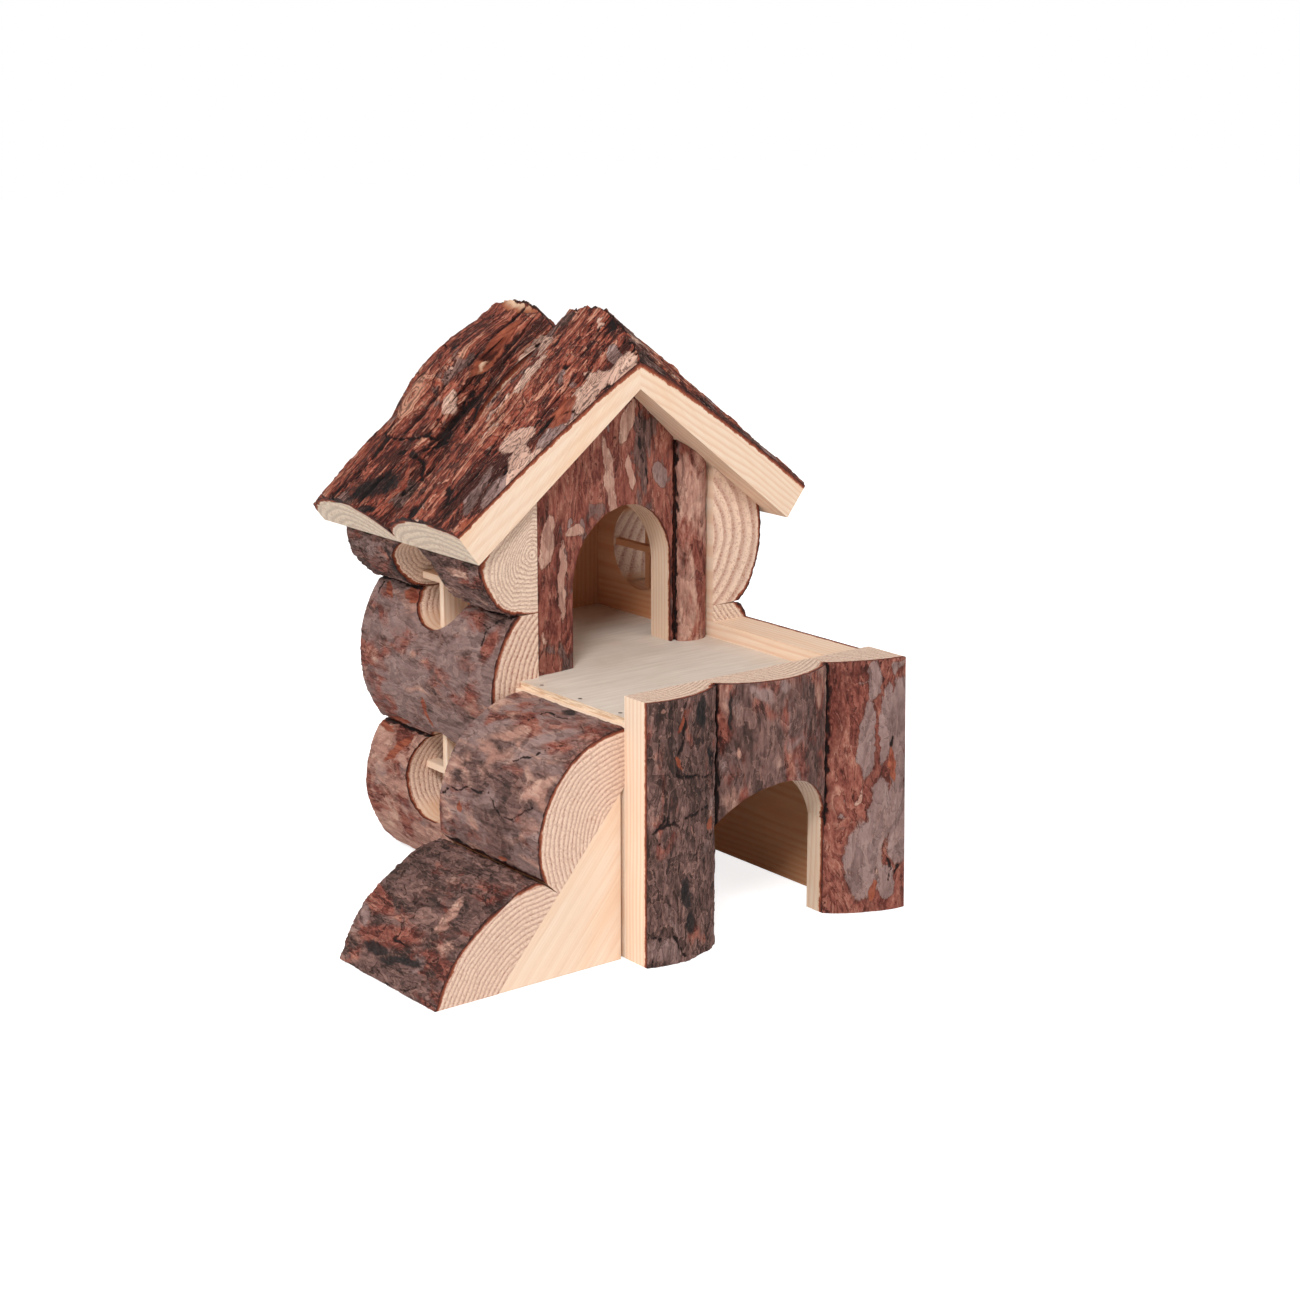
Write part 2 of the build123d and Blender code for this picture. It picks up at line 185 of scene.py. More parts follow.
# %% Slice the bark
CELL = 2.0  # mm
CUTS = 3
on_plane = 0.05 * MM


def cutting_planes(trunk):
    spots = [trunk.rings(v.co) for f in trunk.bark_faces for v in f.verts]
    along = [s[0][0] for s in spots]
    turn = [math.atan2(s[0][1], s[0][2]) for s in spots]
    girth = sum(s[1] for s in spots) / len(spots)
    first, last, start, stop = min(along), max(along), min(turn), max(turn)
    low, high = trunk.back(first, 0, 0), trunk.back(last, 0, 0)
    planes = []
    count = max(2, round((last - first) / CELL))
    for step in range(1, count):
        planes.append((trunk.run * (first + (last - first) * step / count) * MM, trunk.run))
    count = max(2, round((stop - start) * girth / CELL))
    for step in range(1, count):
        angle = start + (stop - start) * step / count
        spoke = trunk.across * math.sin(angle) + trunk.out * math.cos(angle)
        planes.append((low, (high - low).cross(spoke).normalized()))
    return planes


def slice_bark(bm, trunk):
    mark, flank = bm.faces.layers.int["round"], bm.faces.layers.int["flank"]
    for face in trunk.bark_faces:
        face[mark] = 1
    if trunk.from_ends:
        for face in bm.faces:
            across = abs(face.normal.dot(trunk.run)) < 0.2 and abs(face.normal.dot(trunk.out)) < 0.5
            face[flank] = int(across and not face[mark])
    for point, normal in cutting_planes(trunk):
        faces = [f for f in bm.faces if f[mark] or (f[flank] and normal is trunk.run)]
        edges = list(dict.fromkeys(e for f in faces for e in f.edges))
        verts = list(dict.fromkeys(v for e in edges for v in e.verts))
        bmesh.ops.bisect_plane(bm, geom=verts + edges + faces, dist=on_plane, plane_co=point, plane_no=normal)
    bmesh.ops.triangulate(bm, faces=[f for f in bm.faces if f[mark] and len(f.verts) > 4])
    edges = list(dict.fromkeys(e for f in bm.faces if f[mark] for e in f.edges))
    bmesh.ops.subdivide_edges(bm, edges=edges, cuts=CUTS, use_grid_fill=True)
    bm.normal_update()
    return mark


print("cells of", CELL, "mm, each edge cut", CUTS, "times")

# %% [markdown]
# ## Kinds of bark
# The house has four kinds: ridged bark in thick layers on the roof, papery bark with clean patches, smooth
# bark of young trunks, and a crust of old bark. One set of numbers for all would be simpler, but the real
# logs differ too much. So each log names its kind.

# %% Bark styles
# stretch, width: mm of one flake along and around the trunk; layers, step: their number and height in mm
# fissure, gash, share: depth in mm, width and share of the fissures; grit: its height in mm
# clean: how sharp the outlines of coloured patches are; flaky: how much the layers show
ridged = dict(stretch=26, width=3.0, layers=4.2, step=0.26, fissure=0.9, gash=0.10, share=0.35, grit=0.2,
              clean=0.8, flaky=1.0)
papery = dict(stretch=24, width=8, layers=1.0, step=0.2, fissure=0.3, gash=0.02, share=-0.3, grit=0.1,
              clean=1.0, flaky=0.3)
smooth = dict(stretch=16, width=9, layers=1.4, step=0.22, fissure=0.3, gash=0.02, share=-0.8, grit=0.12,
              clean=0.22, flaky=0.35)
crusty = dict(stretch=8, width=5.0, layers=2.0, step=0.28, fissure=0.6, gash=0.04, share=-0.15, grit=0.2,
              clean=0.4, flaky=0.6)

# style, seed, and how much of the bark is pale flakes, grey skin and old brown bark; the rest is red
log_bark = {
    "front_left_post": (crusty, 11, -0.1, 0.05, 0.9), "front_lintel": (smooth, 12, 0.0, 0.1, 0.65),
    "front_right_post": (papery, 13, -0.1, 0.05, -0.2),
    "left_lower_log": (smooth, 14, 0.6, 0.2, 0.1), "left_middle_log": (smooth, 15, 0.0, 0.64, 0.65),
    "left_upper_log": (crusty, 16, 0.0, 0.25, 0.75),
    "right_lower_log": (smooth, 17, 0.2, 0.4, 0.3), "right_middle_log": (crusty, 18, 0.1, 0.35, 0.6),
    "right_upper_log": (smooth, 19, 0.2, 0.4, 0.3),
    "gable_board_wide": (papery, 20, -0.1, -0.1, 0.2), "gable_board_narrow": (smooth, 21, 0.5, 0.0, -0.3),
    "rear_board_left": (crusty, 22, 0.1, 0.3, 0.5), "rear_board_middle": (papery, 23, 0.1, 0.4, 0.3),
    "rear_board_right": (crusty, 24, 0.1, 0.2, 0.6),
    "roof_left_front": (ridged, 25, 0.05, -0.1, -0.1), "roof_left_rear": (ridged, 26, 0.0, -0.1, 0.1),
    "roof_right_front": (ridged, 27, 0.2, 0.4, 0.5), "roof_right_rear": (ridged, 28, 0.2, 0.3, 0.4),
    "step_lower": (crusty, 29, -0.1, 0.05, 0.75), "step_upper": (smooth, 30, 0.25, 0.45, 0.6),
}
print("bark of", len(log_bark), "half-logs")

# %% [markdown]
# ## Weathering the bark
# Pine bark is a stack of thin layers that break away along wandering lines, with deeper fissures along the
# trunk. A smooth noise cut into steps gives such layers, and a second noise the fissures, where it passes
# through zero. Noise in the material alone would be less work, but here the same numbers move the vertices
# and stay on them, so colours and shape break at the same lines.

# %% Noise for the bark
noise.seed_set(5)  # unless it is set, noise_vector starts from another place on every run


def ease(low, high, value):
    """0 below low, 1 above high, and a soft step between."""
    t = np.clip((value - low) / (high - low), 0.0, 1.0)
    return t * t * (3 - 2 * t)


def weather(along, around, style, seed):
    """Layer, fissure and grit numbers, and how far an outline wanders there, at one place on the bark."""
    p = Vector((along / style["stretch"], around / style["width"], seed * 7.3))
    p += 0.4 * noise.noise_vector(p * 1.3)
    level = noise.fractal(p, 0.8, 2.1, 5) * style["layers"]
    q = Vector((along / style["stretch"] * 0.8, around / style["width"] * 0.7, seed * 3.1 + 40))
    q += 0.3 * noise.noise_vector(q * 1.9)
    gate = noise.noise(q * 0.8 + Vector((5, 9, 2))) + style["share"]
    grit = noise.fractal(Vector((along / 3.0, around / 1.4, seed)), 0.8, 2.2, 3)
    stray = noise.noise_vector(Vector((along / 5.0, around / 5.0, seed + 60)))
    stray += 0.5 * noise.noise_vector(Vector((along / 1.7, around / 1.7, seed + 80)))
    return level, abs(noise.noise(q)), gate, grit, stray.x, stray.y


def patches(along, around, seed, share):
    """A field that is above 0.5 on about this share of the bark, in islands."""
    p = Vector((along / 16, around / 8, seed * 5.7))
    p += 0.5 * noise.noise_vector(p * 1.7)
    return 0.5 + 0.55 * noise.fractal(p, 0.8, 2.2, 4) + (share - 0.5) * 0.75


print("layer, fissure, gate, grit and stray at one place", np.round(weather(10, 5, ridged, 25), 2))

# %% [markdown]
# ## Marks on the bark
# Some features of the real house are too particular for noise: single pale flakes, a black patch, a knot,
# some cracks. Each is given in millimetres: first along the trunk, as the frame measures it, which is the
# height on an upright log, then around it from its crown. A mark is an ellipse with a ragged outline,
# given by its middle, the way to its tip and its half width. A crack is a half width and a line of points.

# %% Listed marks
bark_marks = {
    "roof_left_front": [
        ("pale", -65, 10, -4, 2, 2), ("pale", -60, 14, -4, -1, 2), ("grey", -50, 15, -5, 0, 2),
        ("pale", -56, 16, -3, -2, 1.5), ("pale", -61, 18, -4, 0, 2), ("grey", -72, 18, -7, 1, 1.5),
        ("grey", -47, 10, -7, -1, 1.5), ("pale", -88, 18, -7, 1, 2), ("pale", -84, 20, 3, 0, 1.5),
        ("pale", -86, -3, -7, 0, 1.5), ("grey", -101, 17, 2, 0, 2.5), ("pale", -73, -6, -4, 1, 1),
        ("torn", -78, 16, -6, 0, 2.5), ("brown", -100, -13, -9, 5, 1.5), ("brown", -81, -13, -8, 6, 1.5),
        ("torn", -37, 15, -3, 0, 1.5), ("pale", -99, 21, -5, 0, 2),
    ],
    "roof_left_rear": [
        ("knot", -70, -3, -5, 1, 3.5), ("black", -41, 9, -5, 4, 3), ("black", -34, 12, -2, 2, 1),
        ("black", -54, 12, 1, 0, 1), ("bare", -87, 10, -4, -1, 0.5), ("bare", -111, 1, 1, 10, 3),
        ("torn", -93, 9, -12, -2, 2), ("pale", -72, 11, -3, -1, 1.5), ("pale", -98, 19, -6, 0, 1),
        ("grey", -64, -8, -2, 0, 1),
    ],
    "left_middle_log": [
        ("red", -1, -14, -1, -5, 2.5), ("red", 56, -1, -1, 3, 2), ("torn", 30, 12, 0, -5, 1),
        ("torn", 53, -20, -3, 2, 1), ("torn", 42, -20, -4, 1, 1.5), ("torn", 50, 20, -8, -1, 1),
        ("brown", 12, -10, -8, -5, 1), ("pale", 33, -5, -1, 0, 1),
    ],
    "left_lower_log": [
        ("pale", 49, 5, -1, 2, 1), ("torn", 47, -12, -5, -5, 1.5), ("torn", 58, -17, -5, 1, 1),
        ("grey", 53, -4, -2, 3, 2.5), ("red", 43, 10, -1, 6, 3),
    ],
    "left_upper_log": [("black", 40, 10, 0, 8, 1), ("pale", 5, 4, -4, 0, 1)],
    "step_upper": [
        ("black", -33, -21, 2, 0, 1.5), ("brown", -46, -1, -6, -6, 3), ("pale", -48, 4, -4, -3, 1.5),
        ("grey", -36, -2, 5, 3, 1), ("grey", -40, -10, -5, -4, 2), ("grey", -18, -5, -4, -5, 2.5),
        ("torn", -18, 16, -1, 1, 1), ("torn", -37, 25, -2, 0, 0.5), ("pale", -13, 19, -2, 0, 1.5),
    ],
    "step_lower": [
        ("black", -34, 8, -8, -2, 1), ("black", -23, 8, -5, 0, 1), ("brown", -29, -23, -20, -1, 3.5),
        ("pale", -41, -8, 0, -4, 1.5), ("pale", -42, -4, -2, -1, 1), ("grey", -12, 2, -2, 2, 1.5),
        ("red", -26, 4, -12, -3, 3),
    ],
    "front_left_post": [
        ("torn", 64, -1, 3, -1, 0.5), ("torn", 53, 0, 2, 1, 0.5), ("torn", 34, -13, 2, 0, 1.5),
        ("black", 18, -2, 4, 0, 1.5), ("black", 10, -4, 3, 0, 1.5), ("black", 65, -8, 4, 0, 1.5),
        ("black", 52, -12, -2, -1, 1), ("grey", 4, 4, -2, -4, 2.5), ("pale", 67, 5, 0.5, 0, 0.5),
    ],
    "front_lintel": [
        ("grey", 66, 8, -1, -2, 1.5), ("grey", 68, 11, 0, -1, 1), ("grey", 68, 2, -1, -1, 1),
        ("black", 62, 17, 4, 0, 0.5), ("pale", 51, 15, -1, 0, 0.5),
    ],
    "front_right_post": [
        ("grey", 48, 21, 9, 0, 2), ("grey", 15, 19, 9, 1, 4.5), ("grey", 27, 16, 9, 0, 2.5),
        ("grey", 52, 12, 10, 0, 3), ("grey", 25, 10, 10, 1, 3), ("grey", 64, 20, 4, 0, 1.5),
        ("grey", 52, 16, 9, 0, 1.5), ("grey", 39, 11, 5, 0, 2), ("grey", 8, 12, 4, 0, 2),
        ("pale", 34, 22, 3, 0, 1), ("torn", 41, 13, 5, 1, 1), ("torn", 6, 16, 3, 0, 1),
        ("red", 37, 24, 6, 0, 3), ("red", 58, 28, 8, 0, 2.5), ("red", 12, 26, 7, 1, 2),
    ],
    "gable_board_wide": [
        ("pale", 99, -14, 6, -1, 2), ("pale", 111, -37, 12, 2, 1.5), ("pale", 128, -44, 5, -2, 2),
        ("pale", 114, -45, 4, 1, 1), ("pale", 101, -24, 0, -3, 1), ("pale", 88, -19, -9, 0, 1),
        ("grey", 112, -58, -3, -2, 2), ("brown", 117, -50, 8, 1, 1.5),
    ],
    "gable_board_narrow": [("pale", 81, 2, 7, 1, 1)],
}
bark_cracks = {
    "roof_left_front": [(0.5, [(-111, 8), (-107, 9), (-102, 8)])],
    "roof_left_rear": [
        (0.8, [(-56, -1), (-59, 8), (-62, 14), (-63, 17)]),
        (0.7, [(-59, -9), (-56, -1), (-46, 1), (-41, -2), (-35, 0)]),
        (0.6, [(-82, 13), (-75, 14), (-70, 14), (-63, 17), (-57, 14)]),
        (0.6, [(-54, 12), (-54, 16), (-50, 19)]),
        (0.4, [(-80, -1), (-94, -14)]),
    ],
    "left_middle_log": [
        (0.4, [(8, -20), (3, -17), (2, -13)]),
        (0.4, [(3, -17), (0, -21), (-5, -23)]),
        (0.5, [(57, -18), (57, -21)]),
    ],
    "step_upper": [
        (0.4, [(-26, -13), (-28, -17), (-37, -18)]),
        (0.3, [(-30, 10), (-37, 14), (-42, 14), (-48, 9)]),
        (0.3, [(-34, 0), (-41, -5), (-46, -9)]),
        (0.3, [(-10, 14), (-20, 11), (-28, 10)]),
    ],
    "front_left_post": [
        (0.4, [(68, -2), (59, -1), (54, 1), (50, 0), (49, -2)]),
        (0.3, [(49, -2), (47, -14)]),
        (0.4, [(36, 8), (38, -1), (39, -7), (39, -12)]),
        (0.7, [(53, -14), (39, -15)]),
        (0.4, [(8, 7), (7, 2), (2, -2)]),
    ],
    "front_right_post": [
        (0.6, [(48, 14), (46, 14)]),
        (0.4, [(15, 12), (12, 11), (9, 11)]),
        (0.5, [(12, 9), (10, 9)]),
    ],
    "gable_board_wide": [(0.4, [(133, -49), (125, -49), (118, -50), (110, -53)])],
}
print("marks", sum(map(len, bark_marks.values())), "cracks", sum(map(len, bark_cracks.values())))

# %% [markdown]
# ## From marks to numbers
# A mark could be painted as an image, but then it would fit one log at one size only. Instead it becomes a
# field, 1 in its middle and 0.5 at its outline, like the islands of the noise, and the larger of the two
# counts. Loose flakes also cover the painted shade of a furrow. A knot winds the layers round itself.

# %% Put marks and cracks into the fields
skin_kinds, mark_kinds = ("pale", "grey", "brown"), ("black", "bare", "torn")
mark_height = {"pale": 0.2, "grey": 0.12, "brown": 0.1, "black": -0.1, "bare": -0.25, "torn": -0.3}  # mm
knot_height, knot_rings = 0.7, 9  # mm, and layers around the knot
outline, spill = (0.46, 0.54), 1.25  # where a mark ends, and how far a skin or black spills past it


def place_marks(node, along, around, skin, mark, level, gate, rise):
    """Adds the listed marks to the fields of one log, and tells where a loose flake covers it."""
    cover = np.zeros(len(along))
    for kind, a, r, da, dr, half in bark_marks.get(node, ()):
        long = math.hypot(da, dr)
        u = ((along - a) * da + (around - r) * dr) / long ** 2
        v = ((around - r) * da - (along - a) * dr) / long / half
        value = 1 - 0.5 * np.hypot(u, v) / (spill if kind in skin_kinds or kind == "black" else 1.0)
        if kind == "knot":
            swirl = ease(0.2, 0.6, value)
            level += swirl * ((1 - value) * knot_rings - level)
            gate -= 2.0 * swirl
            rise += knot_height * swirl
            continue
        if kind == "red":
            skin[:] = np.minimum(skin, (1 - value)[:, None])
            continue
        field, kinds = (skin, skin_kinds) if kind in skin_kinds else (mark, mark_kinds)
        column = kinds.index(kind)
        field[:, column] = np.maximum(field[:, column], value)
        rise += mark_height[kind] * ease(*outline, value)
        if kind in ("pale", "grey"):
            cover = np.maximum(cover, ease(*outline, value))
    return cover


def crack_field(node, along, around, grit):
    """How deep in a listed crack each place is, from 0 to 1. Grit makes its width uneven."""
    deep = np.zeros(len(along))
    uneven = np.clip(0.85 + 2.2 * grit, 0.15, 1.8)
    for half, line in bark_cracks.get(node, ()):
        for (a0, r0), (a1, r1) in zip(line, line[1:]):
            da, dr = a1 - a0, r1 - r0
            t = np.clip(((along - a0) * da + (around - r0) * dr) / (da * da + dr * dr), 0, 1)
            away = np.hypot(along - a0 - t * da, around - r0 - t * dr) / (half * uneven)
            deep = np.maximum(deep, 1 - ease(0.1, 1.2, away))
    return deep


print("kinds of marks", *skin_kinds, *mark_kinds)

# %% [markdown]
# ## Cutting all the half-logs
# Neighbouring logs meet at seams, where the bark of both rolls in and the joint gets painted shade. So every
# log is cut before any is shaped, and the points on its sawn sides are collected. Those that lie on a
# neighbour's side too are the joints.

# %% Cut the logs and find their joints
joint_gap = 1.2 * MM
far_away = Vector((9, 9, 9))


def side_points(bm, mark, run, out):
    """Points where bark meets a sawn side that faces across the log."""
    return [v for v in bm.verts if any(f[mark] for f in v.link_faces)
            and any(not f[mark] and abs(f.normal.dot(run)) < 0.1 and abs(f.normal.dot(out)) < 0.1
                    for f in v.link_faces)]


def tree_of(points):
    tree = kdtree.KDTree(max(1, len(points)))
    for index, point in enumerate(points or [far_away]):
        tree.insert(point, index)
    tree.balance()
    return tree


cut_logs, sides = {}, {}
for node, (run, out) in log_lies.items():
    bm = sawn_copy(node)
    trunk = Trunk(bm, run, out, node.startswith("roof"))
    mark = slice_bark(bm, trunk)
    cut_logs[node] = (bm, trunk, mark)
    sides[node] = [v.co.copy() for v in side_points(bm, mark, run, out)]
joints = {}
for node, points in sides.items():
    others = tree_of([co for other, side in sides.items() if other != node for co in side])
    joints[node] = [co for co in points if others.find(co)[2] < joint_gap]
    print(node, "side points", len(points), "on joints", len(joints[node]))

# %% [markdown]
# ## What each point of the wood is
# Before anything moves, every vertex learns where in the trunk it lies, how its log's rings look, how
# weathered its end grain is, and whether it gets painted indoor shade, as on the inner flats of the walls.
# Written on the mesh as attributes, this lets one material serve every log.

# %% Write the wood on the vertices
plain_look = (1.3, 0.85, 0.3)  # mm between rings, their strength, and how weathered the end grain is
wood_looks = {
    "right_upper_log": (3.4, 0.8, 0.0), "left_upper_log": (1.1, 0.8, 0.3),
    "left_middle_log": (1.5, 1.0, 0.05), "left_lower_log": (1.5, 0.9, 0.05),
    "roof_left_front": (2.4, 0.5, 0.8), "roof_left_rear": (2.2, 0.5, 0.8),
    "step_lower": (1.3, 0.8, 0.0), "step_upper": (1.25, 0.8, 0.0),
}


def layers_of(bm):
    at = {name: bm.verts.layers.float_vector[name] for name in vector_layers}
    return at, bm.verts.layers.float["girth"]


def learn_wood(node):
    """Fills the wood's layers and returns the bark's vertices with their places."""
    bm, trunk, mark = cut_logs[node]
    at, girth_at = layers_of(bm)
    style = log_bark[node][0]
    is_wall = node.endswith("_log") or node.startswith("rear")
    barked = []
    for vert in bm.verts:
        (along, y, z), girth = trunk.rings(vert.co)
        # painted shade: marks the inner flats of a wall, whose wood the material darkens and reddens as if in
        # the rooms' dim light
        indoor_shade = is_wall and any(f.normal.dot(trunk.out) < -0.9 for f in vert.link_faces)
        vert[at["grain"]], vert[at["wood"]] = trunk.run, wood_looks.get(node, plain_look)
        vert[at["style"]] = (style["clean"], style["flaky"], float(indoor_shade))
        vert[girth_at], vert[at["trunk"]] = girth, (along, y, z)
        if any(f[mark] for f in vert.link_faces):
            reach = math.hypot(y, z)
            vert[at["trunk"]] = (along, y * girth / reach, z * girth / reach)
            barked.append((vert, along, girth * math.atan2(y, z), reach, girth, y / reach, z / reach))
    return barked


on_bark = {node: learn_wood(node) for node in log_lies}
print("vertices on bark", sum(map(len, on_bark.values())))

# %% [markdown]
# ## Shaping the bark
# The bark vertices move in or out along their own radius. A displacement modifier could do that, but it
# wouldn't know the seams: close to a sawn side the bark fades to the sawn outline, and at a joint it rolls in
# and is marked for painted shade.

# %% Shape the bark
wander = 1.1  # mm that a mark's outline strays
flake_edge, lift = 0.72, 0.25  # where a layer starts to step up, and mm that the bark stands off the solid
furrow_shade, flake_cover = 0.75, 0.8
seam_fade, seam_roll, seam_width = 2.0, 0.6, 1.4  # mm


def bark_fields(node, along, around, sunk):
    """Layer, fissure, height in mm, skins, marks and grit at each place; sunk is mm below the plain trunk."""
    style, seed, *shares = log_bark[node]
    places = list(zip(along, around))
    level, line, gate, grit, stray_a, stray_r = np.array([weather(a, r, style, seed) for a, r in places]).T
    skin = np.array([[patches(a, r, seed + i * 31, share) for i, share in enumerate(shares)]
                     for a, r in places])
    marks, rise = np.zeros((len(along), len(mark_kinds))), np.zeros(len(along))
    strayed = along + wander * stray_a, around + wander * stray_r
    cover = place_marks(node, *strayed, skin, marks, level, gate, rise)
    under = np.floor(level)
    fissure = ease(0.0, 0.25, gate) * (1 - ease(0, style["gash"], line))
    fissure = np.maximum(fissure, crack_field(node, along + stray_a, around + stray_r, grit))
    rise += (under + ease(flake_edge, 1.0, level - under) + 0.5) * style["step"] + style["grit"] * grit + lift
    rise -= fissure * style["fissure"]
    # painted shade: on ridged bark, bark sunk below the plain trunk is marked dark like a furrow in shadow,
    # and loose flakes cover it
    if style is ridged:
        fissure = np.maximum(fissure, furrow_shade * ease(0.5, 1.5, sunk + 0.4 * grit))
        fissure *= 1 - flake_cover * cover
    return level, fissure, rise, skin, marks, grit


def shape_bark(node):
    bm, trunk, mark = cut_logs[node]
    at = layers_of(bm)[0]
    barked = on_bark[node]
    along, around, reach, girth = (np.array([b[i] for b in barked]) for i in (1, 2, 3, 4))
    level, fissure, rise, skin, marks, grit = bark_fields(node, along, around, girth - reach)
    side, joint = (np.array([tree.find(b[0].co)[2] for b in barked]) / MM
                   for tree in (tree_of(sides[node]), tree_of(joints[node])))
    rise *= ease(-0.4, seam_fade, side)
    rise -= seam_roll * (1 - ease(0.0, seam_width, joint + grit))
    # painted shade along the joints between logs
    fissure = np.maximum(fissure, 0.85 * (1 - ease(0.2, 1.3, joint + grit)))
    for index, (vert, a, r, out, g, y, z) in enumerate(barked):
        vert[at["bark"]] = (level[index], fissure[index], rise[index])
        vert[at["skin"]], vert[at["mark"]] = skin[index], marks[index]
        vert.co = trunk.back(a, y * (out + rise[index]), z * (out + rise[index]))
    return rise


rises = [shape_bark(node) for node in log_lies]
print("highest bark", round(max(r.max() for r in rises), 2), "mm above the solid")

# %% [markdown]
# ## Showing the half-logs
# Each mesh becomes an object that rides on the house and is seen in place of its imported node. Bark is shaded
# smooth and sawn faces flat, and the edges between them stay sharp.

# %% Show the half-logs
def show(bm, node):
    """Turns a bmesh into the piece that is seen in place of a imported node."""
    mesh = bpy.data.meshes.new(node + "_wood")
    bm.to_mesh(mesh)
    bm.free()
    piece = bpy.data.objects.new(node + "_wood", mesh)
    scene.collection.objects.link(piece)
    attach(piece, "root")
    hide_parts(node)
    return piece


def half_log(node):
    bm, trunk, mark = cut_logs[node]
    for face in bm.faces:
        face.smooth = bool(face[mark])
    for edge in bm.edges:
        edge.smooth = len({f[mark] for f in edge.link_faces}) == 1
    return show(bm, node)


logs = {node: half_log(node) for node in log_lies}
print("half-logs", len(logs), "faces", sum(len(o.data.polygons) for o in logs.values()))

# %% [markdown]
# ## Sawn boards and sticks
# The stringers, the board beside the stairs and the window sticks carry no bark. They get the same layers as
# the logs, with a trunk's middle that lies well outside them, and their edges are broken a little. The sticks
# in the left windows are flat strips, set on edge, so their inner side is moved further in. Those in the
# right windows get the painted indoor shade, which makes them darker and redder.

# %% Make the boards and sticks
stair_run = Vector((math.cos(stair_pitch), 0, math.sin(stair_pitch)))
boards = {"stringer_front": (stair_run, "pine", 0.0), "stringer_rear": (stair_run, "pine", 0.0),
          "left_side_board": (BACK, "pine", 0.0)}
sticks = {"upright": (UP, 6.0), "level": (BACK, 2.0)}  # way of the grain, and mm further in at the left
for window in ("left_upper", "left_lower", "right_upper", "right_lower"):
    for bar, (run, deeper) in sticks.items():
        boards[f"{window}_bar_{bar}"] = (run, "stick", deeper if window.startswith("left") else 0.0)
board_looks = {"pine": (3.6, 0.35, 0.3), "stick": (1.4, 0.6, 0.3)}
edge_break = 0.15 * MM
next_board, heart_side, heart_rise, big_girth = 40, 60, 25, 200.0  # mm to the heart and its girth


def board(seed, node, run, slot, deeper):
    bm = sawn_copy(node)
    if deeper:
        middle = sum((v.co for v in bm.verts), Vector()) / len(bm.verts)
        inner = [v for v in bm.verts if (v.co - middle).dot(RIGHT) > 0]
        bmesh.ops.translate(bm, verts=inner, vec=RIGHT * deeper * MM)
    bmesh.ops.bevel(bm, geom=bm.edges[:], offset=edge_break, segments=2, profile=0.5, affect="EDGES",
                    material=-1)
    at, girth_at = layers_of(bm)
    side = run.cross(Vector((0.3, 0.9, 0.31))).normalized()
    rise = side.cross(run)
    for vert in bm.verts:
        co = vert.co / MM
        vert[at["trunk"]] = (co.dot(run) + next_board * seed, co.dot(side) + heart_side + seed,
                             co.dot(rise) + heart_rise)
        vert[at["grain"]], vert[girth_at] = run, big_girth
        vert[at["wood"]] = board_looks[slot]
        # painted shade: the sticks of the right windows get the same indoor shade as the walls' inner flats
        vert[at["style"]] = (0, 0, float(node.startswith("right")))
    return show(bm, node)


cut_wood = {node: board(seed, node, *boards[node]) for seed, node in enumerate(boards)}
print("boards and sticks", len(cut_wood))

# %% [markdown]
# ## Colours and nodes
# Colours are given as screen values from 0 to 255 and turned into the linear numbers that nodes use.
# Building a graph of nodes takes many lines, so a small helper adds a node, plugs its inputs and returns its
# output, and a graph then reads like a formula.

# %% Colour and node helpers
def tone(*rgb):
    return tuple((c / 255 / 12.92) if c <= 10 else ((c / 255 + 0.055) / 1.055) ** 2.4 for c in rgb) + (1.0,)


